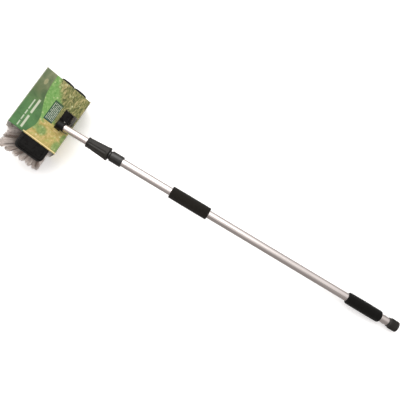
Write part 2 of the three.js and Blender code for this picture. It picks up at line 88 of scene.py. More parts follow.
def add_camera():
    """Looks down on the pole from above its middle, rolled so that the pole runs down to the right."""
    data = bpy.data.cameras.new("camera")
    data.sensor_width = 36
    data.lens = CAMERA["lens"]
    back = CAMERA_RIGHT.cross(CAMERA_UP).normalized()
    turn = Matrix((CAMERA_RIGHT, CAMERA_UP, back)).transposed().to_4x4()
    camera = bpy.data.objects.new("camera", data)
    camera.matrix_world = POLE @ Matrix.Translation(CAMERA["place"]) @ turn
    bpy.context.scene.collection.objects.link(camera)
    bpy.context.scene.camera = camera


def add_softbox(name, place, target, size, power, mirrored=True):
    data = bpy.data.lights.new(name, "AREA")
    data.shape = "RECTANGLE"
    data.size, data.size_y = size
    data.energy = power
    light = bpy.data.objects.new(name, data)
    light.location = place
    light.visible_glossy = mirrored
    light.rotation_mode = "QUATERNION"
    light.rotation_quaternion = (Vector(target) - Vector(place)).to_track_quat("-Z", "Y")
    bpy.context.scene.collection.objects.link(light)


SKY_AXIS = Vector((-0.42, 0.42, 0.80))


def add_world():
    """Soft light, brightest above the head's far side and dimmer towards the butt and the near side."""
    world = bpy.data.worlds.new("studio")
    world.use_nodes = True
    bpy.context.scene.world = world
    tree = world.node_tree
    background = tree.nodes["Background"]
    direction = tree.nodes.new("ShaderNodeTexCoord")
    towards = tree.nodes.new("ShaderNodeVectorMath")
    towards.operation = "DOT_PRODUCT"
    towards.inputs[1].default_value = SKY_AXIS
    ramp = tree.nodes.new("ShaderNodeValToRGB")
    tree.links.new(direction.outputs["Generated"], towards.inputs[0])
    tree.links.new(towards.outputs["Value"], ramp.inputs[0])
    tree.links.new(ramp.outputs["Color"], background.inputs["Color"])
    stops = ramp.color_ramp.elements
    stops[0].position, stops[0].color = 0.05, (0.31, 0.29, 0.28, 1)
    stops[1].position, stops[1].color = 0.85, (1.12, 1.10, 1.08, 1)


FLOOR_GLOW = 0.2


def add_floor():
    """A lit white table: it glows a little, so that shadows on it stay faint."""
    half = 20
    mesh = bpy.data.meshes.new("floor")
    corners = [(-half, -half, 0), (half, -half, 0), (half, half, 0), (-half, half, 0)]
    mesh.from_pydata(corners, [], [(0, 1, 2, 3)])
    graph = Graph("floor_white", roughness=0.9)
    speckle = graph.noise(graph.object_point(), 40, detail=3)
    graph.set("Base Color", graph.ramp(speckle, [(0.3, (0.95, 0.95, 0.95)), (0.7, (0.98, 0.98, 0.98))]))
    graph.set("Emission Color", (1.0, 1.0, 1.0))
    graph.set("Emission Strength", FLOOR_GLOW)
    mesh.materials.append(graph.material)
    floor = bpy.data.objects.new("floor", mesh)
    floor.visible_glossy = False
    floor.location.z = -0.1 * MM
    bpy.context.scene.collection.objects.link(floor)


# ------------------------------------------------------------ material graphs


def srgb(red, green, blue):
    """A linear colour from 0-255 sRGB values."""
    def linear(value):
        share = value / 255
        return share / 12.92 if share <= 0.04045 else ((share + 0.055) / 1.055) ** 2.4
    return (linear(red), linear(green), linear(blue))


class Graph:
    """A material's nodes round one Principled shader. Inputs take a number, a colour or a socket."""

    def __init__(self, name, **shader):
        self.material = bpy.data.materials.new(name)
        self.material.use_nodes = True
        self.tree = self.material.node_tree
        self.shader = self.tree.nodes["Principled BSDF"]
        for key, value in shader.items():
            self.set(key.replace("_", " ").title().replace("Ior", "IOR"), value)

    def put(self, socket, value):
        if isinstance(value, bpy.types.NodeSocket):
            self.tree.links.new(value, socket)
        elif isinstance(value, tuple) and len(value) == 3 and socket.type == "RGBA":
            socket.default_value = (*value, 1)
        else:
            socket.default_value = value

    def set(self, name, value):
        self.put(self.shader.inputs[name], value)

    def node(self, kind, **settings):
        made = self.tree.nodes.new("ShaderNode" + kind)
        for key, value in settings.items():
            setattr(made, key, value)
        return made

    def object_point(self):
        return self.node("TexCoord").outputs["Object"]

    def uv(self):
        return self.node("TexCoord").outputs["UV"]

    def axes(self, vector):
        made = self.node("SeparateXYZ")
        self.put(made.inputs[0], vector)
        return made.outputs["X"], made.outputs["Y"], made.outputs["Z"]

    def math(self, operation, a, b=0.0):
        made = self.node("Math", operation=operation)
        for socket, value in zip(made.inputs, (a, b)):
            self.put(socket, value)
        return made.outputs[0]

    def scaled(self, vector, factors):
        made = self.node("VectorMath", operation="MULTIPLY")
        self.put(made.inputs[0], vector)
        self.put(made.inputs[1], factors)
        return made.outputs[0]

    def noise(self, vector, scale, detail=2.0, roughness=0.5, distortion=0.0):
        made = self.node("TexNoise")
        for key, value in (("Vector", vector), ("Scale", scale), ("Detail", detail),
                           ("Roughness", roughness), ("Distortion", distortion)):
            self.put(made.inputs[key], value)
        return made.outputs["Fac"]

    def voronoi(self, vector, scale):
        made = self.node("TexVoronoi")
        self.put(made.inputs["Vector"], vector)
        self.put(made.inputs["Scale"], scale)
        return made.outputs["Distance"]

    def ramp(self, value, stops):
        """A colour ramp through (position, colour or grey) stops."""
        made = self.node("ValToRGB")
        elements = made.color_ramp.elements
        while len(elements) < len(stops):
            elements.new(0.5)
        for element, (position, colour) in zip(elements, stops):
            colour = colour if isinstance(colour, tuple) else (colour,) * 3
            element.position = position
            element.color = (*colour, 1)
        self.put(made.inputs[0], value)
        return made.outputs["Color"]

    def between(self, value, low, high, to_low=0.0, to_high=1.0, smooth=False):
        made = self.node("MapRange", interpolation_type="SMOOTHSTEP" if smooth else "LINEAR")
        for socket, number in zip(made.inputs[:5], (value, low, high, to_low, to_high)):
            self.put(socket, number)
        return made.outputs["Result"]

    def mix(self, share, a, b):
        made = self.node("Mix", data_type="RGBA")
        self.put(made.inputs["Factor"], share)
        self.put(made.inputs[6], a)
        self.put(made.inputs[7], b)
        return made.outputs[2]

    def bump(self, height, strength, distance, under=None):
        made = self.node("Bump")
        self.put(made.inputs["Height"], height)
        self.put(made.inputs["Strength"], strength)
        self.put(made.inputs["Distance"], distance)
        if under is not None:
            self.put(made.inputs["Normal"], under)
        return made.outputs["Normal"]

    def pointiness(self, low, high):
        """From 0 at `low` to 1 at `high`. Flat faces measure 0.5, outward edges more and hollows less."""
        return self.between(self.node("NewGeometry").outputs["Pointiness"], low, high)


# ------------------------------------------------------------ meshes


def piece(name, mesh, place, body, slot, materials, *nodes):
    """Adds a mesh, placed in a frame, as a piece that rides on a body and stands for CAD nodes."""
    made = bpy.data.objects.new(name, mesh)
    bpy.context.scene.collection.objects.link(made)
    made.matrix_world = place
    for material in materials:
        mesh.materials.append(material)
    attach(made, body)
    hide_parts(*nodes)
    return made


def finish_mesh(name, built, crease=math.radians(38)):
    """Turns a bmesh into a mesh with outward faces, smooth where it isn't creased."""
    bmesh.ops.remove_doubles(built, verts=built.verts, dist=1e-7)
    bmesh.ops.recalc_face_normals(built, faces=built.faces)
    mesh = bpy.data.meshes.new(name)
    built.to_mesh(mesh)
    built.free()
    mesh.polygons.foreach_set("use_smooth", [True] * len(mesh.polygons))
    mesh.set_sharp_from_angle(angle=crease)
    return mesh


def softened(outline, radius, steps=3, closed=True):
    """Rounds an outline's corners with short curves that start `radius` away from each corner."""
    points = [Vector(p) for p in outline]
    count = len(points)
    result = []
    for i, corner in enumerate(points):
        if not closed and i in (0, count - 1):
            result.append(corner)
            continue
        before = points[i - 1] - corner
        after = points[(i + 1) % count] - corner
        if math.pi - before.angle(after, math.pi) < math.radians(8):
            result.append(corner)
            continue
        start = corner + before.normalized() * min(radius, 0.45 * before.length)
        end = corner + after.normalized() * min(radius, 0.45 * after.length)
        for step in range(steps + 1):
            t = step / steps
            result.append(start * (1 - t) ** 2 + corner * 2 * t * (1 - t) + end * t * t)
    return [tuple(p) for p in result]


def turned(name, outline, segments=96, shape=None):
    """A ring turned about the X axis from a closed outline of (station, radius) pairs.

    shape(station, radius, angle) may return another radius, for ribs and flutes."""
    built = bmesh.new()
    rings = []
    for station, radius in outline:
        ring = []
        for k in range(segments):
            angle = 2 * math.pi * k / segments
            r = shape(station, radius, angle) if shape else radius
            ring.append(built.verts.new((station, r * math.cos(angle), r * math.sin(angle))))
        rings.append(ring)
    for i, ring in enumerate(rings):
        following = rings[(i + 1) % len(rings)]
        for k in range(segments):
            n = (k + 1) % segments
            built.faces.new((ring[k], ring[n], following[n], following[k]))
    return finish_mesh(name, built)


def split_long(outline, longest):
    """Adds stations to an outline so that no stretch of it is longer than `longest`."""
    result = []
    for i, start in enumerate(outline):
        end = outline[(i + 1) % len(outline)]
        length = math.dist(start, end)
        steps = max(1, math.ceil(length / longest))
        for step in range(steps):
            t = step / steps
            result.append((start[0] + (end[0] - start[0]) * t, start[1] + (end[1] - start[1]) * t))
    return result


def rounded_loop(width, length, corner, level, centre=(0, 0), steps=8):
    """A level loop of points round a rectangle with arcs at its corners."""
    points = []
    for quarter, (sx, sy) in enumerate(((1, 1), (-1, 1), (-1, -1), (1, -1))):
        cx = centre[0] + sx * (width / 2 - corner)
        cy = centre[1] + sy * (length / 2 - corner)
        for step in range(steps + 1):
            angle = (quarter + step / steps) * math.pi / 2
            points.append((cx + corner * math.cos(angle), cy + corner * math.sin(angle), level))
    return points


def loft(built, loops, capped=True):
    """Joins loops of equal length into a solid: capped at both ends, or closed into a band."""
    rings = [[built.verts.new(p) for p in loop] for loop in loops]
    following_rings = rings[1:] if capped else rings[1:] + rings[:1]
    for ring, following in zip(rings, following_rings):
        for k in range(len(ring)):
            n = (k + 1) % len(ring)
            built.faces.new((ring[k], ring[n], following[n], following[k]))
    if capped:
        built.faces.new(rings[0])
        built.faces.new(rings[-1])


def lofted(name, loops):
    built = bmesh.new()
    loft(built, loops)
    return finish_mesh(name, built)


# ------------------------------------------------------------ materials


def aluminium_material(name, tint, roughness):
    """Satin anodised tube: fine drawn lines along X, faint cloudy patches and a few scuffs."""
    graph = Graph(name, metallic=1.0, roughness=roughness)
    point = graph.object_point()
    lines = graph.noise(graph.scaled(point, (3, 420, 420)), 1.0, detail=2)
    clouds = graph.noise(graph.scaled(point, (9, 30, 30)), 1.0, detail=4)
    scuffs = graph.noise(graph.scaled(point, (60, 260, 260)), 1.0, detail=6, roughness=0.7)
    scuff_mask = graph.between(scuffs, 0.62, 0.72)
    light = tuple(min(1.0, c * 1.03) for c in tint)
    dark = tuple(c * 0.93 for c in tint)
    plain = graph.mix(graph.between(clouds, 0.35, 0.65), dark, light)
    graph.set("Base Color", graph.mix(graph.math("MULTIPLY", scuff_mask, 0.25), plain, dark))
    rough = graph.between(lines, 0.3, 0.7, roughness - 0.05, roughness + 0.07)
    graph.set("Roughness", graph.math("ADD", rough, graph.math("MULTIPLY", scuff_mask, 0.08)))
    graph.set("Normal", graph.bump(lines, 0.08, 0.03 * MM))
    return graph.material


WORN_EDGES = (0.53, 0.60)
# Pointiness range over which hollows are darkened with painted shade.
HOLLOW_SHADE = (0.50, 0.44)


def moulded_material(name, colour, roughness, grain=0.5, wear=0.3, specular=0.5):
    """Moulded plastic: slight mottling, a fine grain, edges rubbed lighter and hollows darkened with painted
    shade.
    """
    graph = Graph(name, roughness=roughness, specular_ior_level=specular)
    point = graph.object_point()
    mottle = graph.noise(point, 60, detail=4)
    fine = graph.noise(point, 2600, detail=2)
    light = tuple(min(1.0, c * 1.35 + 0.004) for c in colour)
    plain = graph.mix(graph.between(mottle, 0.3, 0.7), colour, light)
    rubbed = tuple(min(1.0, c * 2.0 + 0.03) for c in colour)
    # Painted shade: hollows are darkened towards a third of the plastic's colour.
    hollow_shade = graph.pointiness(*HOLLOW_SHADE)
    plain = graph.mix(graph.math("MULTIPLY", hollow_shade, 0.7), plain, tuple(0.3 * c for c in colour))
    edge = graph.math("MULTIPLY", graph.pointiness(*WORN_EDGES), wear)
    graph.set("Base Color", graph.mix(edge, plain, rubbed))
    graph.set("Roughness", graph.between(mottle, 0.25, 0.75, roughness - 0.05, roughness + 0.06))
    graph.set("Normal", graph.bump(fine, grain, 0.08 * MM))
    return graph.material


def foam_material(name, tone):
    """Closed-cell foam: tiny open cells, dusty high spots and a soft sheen."""
    graph = Graph(name, roughness=0.95, specular_ior_level=0.2, sheen_weight=0.06, sheen_roughness=0.5)
    point = graph.object_point()
    cells = graph.voronoi(point, 1100)
    lumps = graph.noise(point, 320, detail=4)
    light = tuple(1.6 * c for c in tone)
    dark = tuple(0.4 * c for c in tone)
    colour = graph.ramp(cells, [(0.0, light), (0.45, tone), (0.8, dark)])
    dust = graph.between(lumps, 0.55, 0.75, 0.0, 0.35)
    graph.set("Base Color", graph.mix(dust, colour, tuple(2.2 * c for c in tone)))
    rough = graph.bump(lumps, 0.5, 0.3 * MM)
    graph.set("Normal", graph.bump(cells, 0.6, 0.25 * MM, rough))
    return graph.material


def rubber_material(name, colour):
    graph = Graph(name, roughness=0.6, specular_ior_level=0.35)
    point = graph.object_point()
    bloom = graph.noise(point, 90, detail=5)
    light = tuple(c * 1.8 + 0.01 for c in colour)
    graph.set("Base Color", graph.mix(graph.between(bloom, 0.4, 0.8), colour, light))
    graph.set("Roughness", graph.between(bloom, 0.3, 0.7, 0.45, 0.7))
    graph.set("Normal", graph.bump(graph.noise(point, 1800, detail=2), 0.3, 0.06 * MM))
    return graph.material


def steel_material(name, dark, light):
    """Plated screws and pins, faintly brushed."""
    graph = Graph(name, metallic=1.0, roughness=0.35)
    point = graph.object_point()
    brush = graph.noise(graph.scaled(point, (400, 2400, 2400)), 1.0, detail=3)
    graph.set("Base Color", graph.ramp(brush, [(0.3, dark), (0.7, light)]))
    graph.set("Roughness", graph.between(brush, 0.3, 0.7, 0.25, 0.45))
    return graph.material


def bristle_material():
    """Flagged soft fibre: each filament has its own tone, darkened towards the root with painted shade, and
    paler at its tip.
    """
    graph = Graph("bristle_fibre", roughness=0.6, specular_ior_level=0.3)
    shade = graph.node("Attribute", attribute_name="shade").outputs["Fac"]
    along = graph.node("Attribute", attribute_name="along").outputs["Fac"]
    darkest, middle, palest = srgb(142, 124, 114), srgb(204, 189, 179), srgb(244, 235, 229)
    own = graph.ramp(shade, [(0.0, darkest), (0.5, middle), (1.0, palest)])
    # Painted shade: each filament darkens towards its root, where the block shades the bristles.
    root = graph.between(along, 0.05, 0.75)
    graph.set("Base Color", graph.mix(root, srgb(88, 74, 66), own))
    graph.set("Roughness", graph.between(shade, 0, 1, 0.5, 0.7))
    return graph.material


# ------------------------------------------------------------ pole

TUBE_WALL = {"outer_tube": 1.2 * MM, "inner_tube": 1.0 * MM}


def add_tube(node, body, material):
    low, high = extent(node, POLE)
    radius, wall = high.z, TUBE_WALL[node]
    outline = [(low.x, radius), (high.x, radius), (high.x, radius - wall), (low.x, radius - wall)]
    mesh = turned(node + "_drawn", softened(outline, 0.3 * MM), 96)
    piece(node + "_drawn", mesh, POLE, body, "tube_aluminium", [material], node)


def add_grip(node, material, end_radius):
    """A foam sleeve: rounded ends, a faint swell along its length and a fine uneven skin."""
    low, high = extent(node, POLE)
    radius = high.z
    bore = extent("outer_tube", POLE)[1].z + 0.05 * MM
    length = high.x - low.x
    drop = min(end_radius, radius - bore - 0.6 * MM)
    outline = [(low.x + end_radius, radius), (high.x - end_radius, radius)]
    quarter = [i / 8 * math.pi / 2 for i in range(1, 9)]
    outline += [(high.x - end_radius * (1 - math.sin(a)), radius - drop * (1 - math.cos(a))) for a in quarter]
    outline += [(high.x, bore), (low.x, bore)]
    outline += [(low.x + end_radius * (1 - math.sin(a)), radius - drop * (1 - math.cos(a)))
                for a in reversed(quarter)]

    def skin(station, r, angle):
        if r < bore + 0.3 * MM:
            return r
        where = Vector((station * 55, math.cos(angle) * 1.4, math.sin(angle) * 1.4))
        fine = Vector((station * 420, math.cos(angle) * 9, math.sin(angle) * 9))
        swell = -0.25 * MM * ((2 * (station - low.x) / length - 1) ** 2)
        return r + swell + 0.14 * MM * (noise.noise(where) - 0.5) + 0.10 * MM * (noise.noise(fine) - 0.5)

    mesh = turned(node + "_foam", split_long(outline, 1.6 * MM), 120, skin)
    grip = piece(node + "_foam", mesh, POLE, "lower_pole", "grip_foam", [material], node)


def flutes(count, depth, sharpness, start, end, fade, above):
    """A radius function that cuts `count` grooves between two stations, fading out at both."""
    def shape(station, radius, angle):
        if radius < above:
            return radius
        inside = min(1, max(0, (station - start) / fade)) * min(1, max(0, (end - station) / fade))
        groove = (0.5 - 0.5 * math.cos(count * angle)) ** sharpness
        return radius - depth * groove * math.sqrt(inside)
    return shape


NUT = {"ribs": 12, "depth": 1.6 * MM, "bore": 11.4 * MM, "chamber": 14.3 * MM, "thread": 14.75 * MM}


def add_lock_nut(material):
    """The conical nut: a plain front collar, long flutes to grip, and a rolled rear rim."""
    low, high = extent("lock_nut", POLE)
    rear = high.z
    front = rear - 5.5 * MM
    seal = extent("lock_seal", POLE)[0].x - 0.3 * MM
    neck = extent("lock_ferrule", POLE)[0].x - 8.5 * MM
    outline = [(low.x, NUT["bore"]), (low.x, front), (low.x + 4 * MM, front + 0.35 * MM)]
    outline += [(low.x + 5 * MM, front), (high.x - 5.5 * MM, rear - 0.75 * MM), (high.x - 4.5 * MM, rear)]
    outline += [(high.x, rear), (high.x, NUT["thread"]), (neck, NUT["thread"])]
    outline += [(neck - MM, NUT["chamber"]), (seal, NUT["chamber"]), (seal, NUT["bore"])]
    shape = flutes(NUT["ribs"], NUT["depth"], 1.2, low.x + 5 * MM, high.x - 6 * MM, 5 * MM, front - 0.6 * MM)
    fine = split_long(softened(outline, 0.9 * MM), 2.5 * MM)
    mesh = turned("lock_nut_fluted", fine, 26 * NUT["ribs"], shape)
    piece("lock_nut_fluted", mesh, POLE, "lock_collar", "lock_plastic", [material], "lock_nut")


FERRULE = {"bore": 11.3 * MM, "neck": 14.4 * MM, "pitch": 4 * MM, "body_start": 166.5 * MM}


def add_ferrule(material):
    """The clamp's fixed half: a threaded neck, a shoulder and a glossy sleeve with a turned band."""
    low, high = extent("lock_ferrule", POLE)
    radius = high.z
    tube = extent("outer_tube", POLE)[1].z + 0.1 * MM
    stop = extent("outer_tube", POLE)[0].x - 0.3 * MM
    body = FERRULE["body_start"]
    neck = FERRULE["neck"]
    outline = [(low.x, FERRULE["bore"] + 1.8 * MM), (low.x, neck - 1.0 * MM)]
    crest = low.x + 2 * MM
    while crest + FERRULE["pitch"] < body - 2 * MM:
        outline += [(crest, neck), (crest + 0.9 * MM, neck), (crest + 1.8 * MM, neck - 0.9 * MM)]
        outline.append((crest + 3.2 * MM, neck - 0.9 * MM))
        crest += FERRULE["pitch"]
    outline += [(body - 3 * MM, neck - 0.9 * MM), (body - 1.5 * MM, radius - 2.4 * MM), (body, radius)]
    outline += [(high.x - 5 * MM, radius), (high.x - 4.6 * MM, radius - 0.4 * MM)]
    outline += [(high.x - 3.9 * MM, radius - 0.4 * MM), (high.x - 3.5 * MM, radius)]
    outline += [(high.x, radius - 0.3 * MM), (high.x, tube), (stop, tube), (stop, FERRULE["bore"])]
    outline.append((low.x + 3 * MM, FERRULE["bore"]))
    mesh = turned("lock_ferrule_gloss", softened(outline, 0.5 * MM), 128)
    piece("lock_ferrule_gloss", mesh, POLE, "lower_pole", "ferrule_plastic", [material], "lock_ferrule")


COUPLING = {"ribs": 24, "depth": 0.8 * MM, "thread": 13.4 * MM, "neck": 9.25 * MM}


def add_hose_nut(material):
    """The swivelling nut: plain front bead, short grip ribs and an open threaded socket."""
    low, high = extent("hose_nut", POLE)
    radius = high.z
    floor = low.x + 6.4 * MM
    thread = COUPLING["thread"]
    outline = [(low.x, COUPLING["neck"]), (low.x, radius - 1.6 * MM), (low.x + 1.2 * MM, radius)]
    outline += [(high.x - 4.2 * MM, radius), (high.x - 3.6 * MM, radius - 0.5 * MM)]
    outline += [(high.x - 3.0 * MM, radius - 0.5 * MM), (high.x - 2.4 * MM, radius - 0.1 * MM)]
    outline += [(high.x, radius - 0.8 * MM), (high.x, thread + 0.7 * MM)]
    turn = high.x - 1.5 * MM
    while turn - 2.4 * MM > floor:
        outline += [(turn, thread + 0.6 * MM), (turn - 0.7 * MM, thread), (turn - 1.1 * MM, thread)]
        outline.append((turn - 1.8 * MM, thread + 0.6 * MM))
        turn -= 2.2 * MM
    outline += [(floor, thread), (floor, COUPLING["neck"])]
    shape = flutes(COUPLING["ribs"], COUPLING["depth"], 1.4, low.x + 2 * MM, high.x - 5 * MM, 2.5 * MM,
                   radius - 0.2 * MM)
    fine = split_long(softened(outline, 0.45 * MM), 1.5 * MM)
    mesh = turned("hose_nut_ribbed", fine, 12 * COUPLING["ribs"], shape)
    piece("hose_nut_ribbed", mesh, POLE, "hose_coupling", "coupling_plastic", [material], "hose_nut")


def add_pole():
    tube = aluminium_material("tube_outer", srgb(240, 232, 229), 0.30)
    add_tube("outer_tube", "lower_pole", tube)
    add_tube("inner_tube", "upper_pole", aluminium_material("tube_inner", srgb(243, 231, 226), 0.26))
    add_grip("grip_middle", foam_material("foam_middle", srgb(29, 26, 22)), 2.2 * MM)
    # The end grip's foam has a darker tone than the middle grip's: painted shade for the dimmer light towards
    # the butt.
    add_grip("grip_end", foam_material("foam_end", srgb(12, 11, 9)), 6.5 * MM)
    satin = {"roughness": 0.42, "grain": 0.4}
    gloss = {"roughness": 0.2, "grain": 0.1}
    add_lock_nut(moulded_material("lock_plastic", srgb(32, 30, 26), **satin, wear=0.35, specular=0.35))
    add_ferrule(moulded_material("ferrule_plastic", srgb(22, 21, 20), **gloss, wear=0.2, specular=0.6))
    add_hose_nut(moulded_material("coupling_plastic", srgb(26, 25, 22), **satin, wear=0.3, specular=0.3))


# ------------------------------------------------------------ brush block

BLOCK = {"corner": 15 * MM, "skin": 2.2 * MM, "top_edge": 2.6 * MM, "recess_gap": 0.3 * MM}
FLANGE = {"centre": (4 * MM, 0), "width": 50 * MM, "length": 48 * MM, "corner": 6 * MM, "thickness": 3 * MM}


def fillet(width, length, corner, low, high, edge, steps=6):
    """Loops that carry a rounded rectangle up from `low` and in over a rounded top edge."""
    loops = [rounded_loop(width, length, corner, low)]
    for i in range(steps + 1):
        angle = i / steps * math.pi / 2
        inset = edge * (1 - math.cos(angle))
        level = high - edge * (1 - math.sin(angle))
        loops.append(rounded_loop(width - 2 * inset, length - 2 * inset, corner - inset, level))
    return loops


def add_cover(material):
    """The block's upper shell, with the recess that the socket's flange sits in."""
    low, high = extent("head_cover", HEAD)
    width, length = high.x - low.x, high.y - low.y
    corner = BLOCK["corner"] - BLOCK["skin"]
    wall = 6 * MM
    roof = high.z - 9 * MM
    under = [rounded_loop(width - 2 * wall, length - 2 * wall, corner - wall + MM, roof)]
    under.append(rounded_loop(width - 2 * wall, length - 2 * wall, corner - wall + MM, low.z))
    outside = fillet(width, length, corner, low.z, high.z, BLOCK["top_edge"])
    rim = []
    for inset, drop in ((7, 0), (7.5, 0.5), (9.5, 0.5), (10, 0)):
        w, l = width - 2 * inset * MM, length - 2 * inset * MM
        rim.append(rounded_loop(w, l, 5 * MM, high.z - drop * MM))
    gap = 2 * BLOCK["recess_gap"]
    hole = [FLANGE["width"] + gap, FLANGE["length"] + gap, FLANGE["corner"]]
    recess = [rounded_loop(*hole, high.z, FLANGE["centre"])]
    recess.append(rounded_loop(*hole, high.z - FLANGE["thickness"] - BLOCK["recess_gap"], FLANGE["centre"]))
    mesh = lofted("head_cover_shell", under + outside + rim + recess)
    piece("head_cover_shell", mesh, HEAD, "upper_pole", "block_plastic", [material], "head_cover")


def add_base(material):
    """The tuft plate, with softened edges."""
    low, high = extent("head_base", HEAD)
    width, length = high.x - low.x, high.y - low.y
    corner = BLOCK["corner"] - BLOCK["skin"]
    edge = 3 * MM
    loops = []
    for i in range(7):
        angle = i / 6 * math.pi / 2
        inset = edge * (1 - math.sin(angle))
        level = low.z + edge * (1 - math.cos(angle))
        loops.append(rounded_loop(width - 2 * inset, length - 2 * inset, corner - inset, level))
    top = fillet(width, length, corner, high.z - MM, high.z, 0.6 * MM, steps=2)
    mesh = lofted("head_base_plate", loops + top)
    piece("head_base_plate", mesh, HEAD, "upper_pole", "block_plastic", [material], "head_base")


BUFFER = {"half": 23 * MM, "swell": 2 * MM}


def buffer_loop(centre, base, inset, level, reach):
    """A level loop round one buffer: a full, flattened curve that stands on the rail's end."""
    half = BUFFER["half"] - inset
    turns = [i / 24 * math.pi for i in range(25)]
    return [(centre - half * math.cos(t), base + (reach - inset) * math.sin(t) ** 0.5, level)
            for t in turns]


def add_bumper(material):
    """The soft rail round the block's flanks, with one moulded groove, and its two end buffers."""
    low, high = extent("head_bumper", HEAD)
    width, length = high.x - low.x, -2 * low.y
    corner = BLOCK["corner"]
    thick = BLOCK["skin"] - 0.3 * MM
    height = high.z - low.z
    section = [(thick, 0), (0.5 * MM, 0), (0, 0.08 * height), (0, 0.42 * height), (0.7 * MM, 0.5 * height)]
    section += [(0, 0.58 * height), (0, 0.92 * height), (0.5 * MM, height), (thick, height)]
    loops = []
    for inset, rise in softened(section, 0.9 * MM, 3):
        loops.append(rounded_loop(width - 2 * inset, length - 2 * inset, corner - inset, low.z + rise))
    built = bmesh.new()
    loft(built, loops, capped=False)
    base = length / 2 - thick
    reach = high.y - base + BUFFER["swell"]
    for centre in (-BUFFER["half"], BUFFER["half"]):
        rounded = [(1.5 * MM, low.z), (0.4 * MM, low.z + 1.1 * MM), (0, low.z + 2.6 * MM)]
        rounded += [(inset, low.z + high.z - level) for inset, level in reversed(rounded)]
        loft(built, [buffer_loop(centre, base, inset, level, reach) for inset, level in rounded])
    mesh = finish_mesh("head_bumper_rail", built)
    piece("head_bumper_rail", mesh, HEAD, "upper_pole", "bumper_rubber", [material], "head_bumper")


def add_socket(material):
    """The inclined socket, remeshed from its solid so that every edge and joint is filleted."""
    mesh = frame["nodes"]["head_socket"].data.copy()
    mesh.name = "head_socket_moulded"
    mesh.transform(HEAD.inverted())
    mesh.materials.clear()
    made = piece("head_socket_moulded", mesh, HEAD, "upper_pole", "block_plastic", [material], "head_socket")
    remesh = made.modifiers.new("fillets", "REMESH")
    remesh.mode = "VOXEL"
    remesh.voxel_size = 0.5 * MM
    remesh.use_smooth_shade = True
    smooth = made.modifiers.new("soften", "SMOOTH")
    smooth.factor = 0.5
    smooth.iterations = 4


# ------------------------------------------------------------ bristles

TUFTS = {"lines_per_row": 2, "along": 25, "filaments": 90, "rings": 6, "hole": 2.1 * MM}
FILAMENT = {"root": 0.34 * MM, "tip": 0.24 * MM, "splay": 9.5 * MM, "dome": 9.0 * MM}
TIP_LEVEL = -80 * MM


def tuft_lines(node):
    """The X of each tuft line of a bristle row, at its foot and at its tips, and both half lengths."""
    inverse = HEAD.inverted()
    points = [inverse @ v.co for v in frame["nodes"][node].data.vertices]
    foot = [p for p in points if p.z > -40 * MM]
    tips = [p for p in points if p.z <= -40 * MM]
    lines = []
    for i in range(TUFTS["lines_per_row"]):
        share = (i + 0.5) / TUFTS["lines_per_row"]
        at = [min(p.x for p in ends) * (1 - share) + max(p.x for p in ends) * share for ends in (foot, tips)]
        lines.append(at)
    return lines, max(p.y for p in foot), max(p.y for p in tips), max(p.z for p in foot)


def inside_lobe(end, middle_x, half_width, half_length):
    """Draws a tip into its row's lobe: a long dome with round ends, so the row's rim is scalloped."""
    across = (end[0] - middle_x) / half_width
    beyond = abs(end[1]) - (half_length - half_width)
    over = max(0, beyond) / half_width
    reach = math.hypot(across, over)
    if reach > 1:
        end[0] = middle_x + across / reach * half_width
        if beyond > 0:
            end[1] -= math.copysign((over - over / reach) * half_width, end[1])
        reach = 1
    end[2] += FILAMENT["dome"] * reach ** 2.5
    return end


def filament_paths(rng, lines, foot_half, tip_half, foot_level, stagger):
    """Centre lines of a row's filaments, as an array of (filament, ring, xyz), and their shades."""
    paths, shades = [], []
    steps = np.linspace(0, 1, TUFTS["rings"])
    tip_xs = [tip_x for _, tip_x in lines]
    middle_x = sum(tip_xs) / len(tip_xs)
    half_width = (max(tip_xs) - min(tip_xs)) / 2 * len(tip_xs)
    for number, (foot_x, tip_x) in enumerate(lines):
        for k in range(TUFTS["along"]):
            shift = 0.25 if (number + stagger) % 2 else -0.25
            share = (k + 0.5 + shift) / TUFTS["along"] * 2 - 1
            foot = np.array([foot_x, share * foot_half, foot_level])
            lean = rng.normal(0, 1.6 * MM, 2)
            level = TIP_LEVEL + abs(rng.normal(0, 1.2 * MM))
            tip = np.array([tip_x + lean[0], share * tip_half + lean[1], level])
            tone = rng.uniform(0.08, 0.92)
            for _ in range(TUFTS["filaments"]):
                angle, spread = rng.uniform(0, 2 * np.pi), math.sqrt(rng.uniform())
                out = np.array([math.cos(angle), math.sin(angle), 0]) * spread
                start = foot + out * TUFTS["hole"]
                end = tip + out * FILAMENT["splay"] + rng.normal(0, 0.7 * MM, 3) * [1, 1, 0]
                end = inside_lobe(end, middle_x, half_width, tip_half)
                middle = start * 0.55 + end * 0.45
                middle[2] = start[2] * 0.45 + end[2] * 0.55
                middle[:2] = start[:2] + (end[:2] - start[:2]) * 0.38
                t = steps[:, None]
                path = start * (1 - t) ** 2 + middle * 2 * t * (1 - t) + end * t * t
                wave = np.sin(steps * rng.uniform(4, 9) + rng.uniform(0, 6)) * steps * 0.45 * MM
                path[:, 0] += wave * math.cos(angle)
                path[:, 1] += wave * math.sin(angle)
                paths.append(path)
                shades.append(min(1, max(0, tone + rng.normal(0, 0.18))))
    return np.array(paths), np.array(shades)


